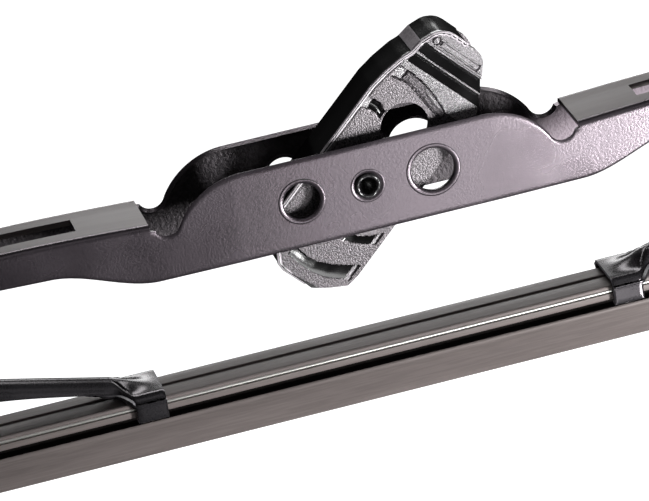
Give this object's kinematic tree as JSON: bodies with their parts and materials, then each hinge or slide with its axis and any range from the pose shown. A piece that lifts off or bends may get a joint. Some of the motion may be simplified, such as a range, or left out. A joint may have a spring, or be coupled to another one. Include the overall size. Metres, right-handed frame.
{
  "type": "wiper blade",
  "caption": "Framed wiper blade: folded steel bridge with a pivoting plastic hook adapter, riveted levers and claw yokes, and a rubber squeegee on spring rails.",
  "frame": {"origin": "on the axis of the adapter's rivet, midway between the bridge's two side plates", "axes": "+X along the blade, +Y across it, away from the side with the rivet's open rim, +Z away from the glass"},
  "size_m": [0.5, 0.0165, 0.0714],
  "materials": {
    "bridge_steel": "black coated steel, satin with a fine mottle and a few chips",
    "lever_steel": "black coated steel, semi-gloss",
    "rivet_steel": "black coated steel, semi-gloss, worn at the rim",
    "adapter_plastic": "black moulded plastic with a fine spark-eroded grain",
    "liner_plastic": "plain black moulded plastic",
    "squeegee_rubber": "black rubber, satin along the flanges",
    "rail_steel": "bright rolled spring steel",
    "clip_steel": "black coated steel, semi-gloss"
  },
  "bodies": {
    "adapter": {"adapter_clip": "adapter_plastic"},
    "bridge": {"bridge": "bridge_steel", "adapter_rivet": "rivet_steel", "lever_rivet_left": "rivet_steel", "lever_rivet_right": "rivet_steel", "lever_liner_left": "liner_plastic", "lever_liner_right": "liner_plastic", "squeegee": "squeegee_rubber", "rail_front": "rail_steel", "rail_back": "rail_steel", "end_clip_left": "clip_steel", "end_clip_right": "clip_steel"},
    "lever_left": {"lever_left": "lever_steel", "yoke_rivet_left": "rivet_steel", "yoke_liner_left": "liner_plastic"},
    "lever_right": {"lever_right": "lever_steel", "yoke_rivet_right": "rivet_steel", "yoke_liner_right": "liner_plastic"},
    "claw_yoke_left": {"claw_yoke_left": "lever_steel"},
    "claw_yoke_right": {"claw_yoke_right": "lever_steel"}
  },
  "joints": [
    {"name": "adapter_pivot", "type": "hinge", "parent": "adapter", "child": "bridge", "pos_m": [0, 0, 0], "axis": [0, 1, 0], "range_deg": [-58, 46]},
    {"name": "lever_pivot_left", "type": "hinge", "parent": "bridge", "child": "lever_left", "pos_m": [-0.1395, 0, -0.02], "axis": [0, 1, 0], "range_deg": [-0.12, 0.12]},
    {"name": "lever_pivot_right", "type": "hinge", "parent": "bridge", "child": "lever_right", "pos_m": [0.1395, 0, -0.02], "axis": [0, 1, 0], "range_deg": [-0.12, 0.12]},
    {"name": "yoke_pivot_left", "type": "hinge", "parent": "lever_left", "child": "claw_yoke_left", "pos_m": [-0.186, 0, -0.0286], "axis": [0, 1, 0], "range_deg": [-0.2, 0.2]},
    {"name": "yoke_pivot_right", "type": "hinge", "parent": "lever_right", "child": "claw_yoke_right", "pos_m": [0.186, 0, -0.0286], "axis": [0, 1, 0], "range_deg": [-0.2, 0.2]}
  ]
}
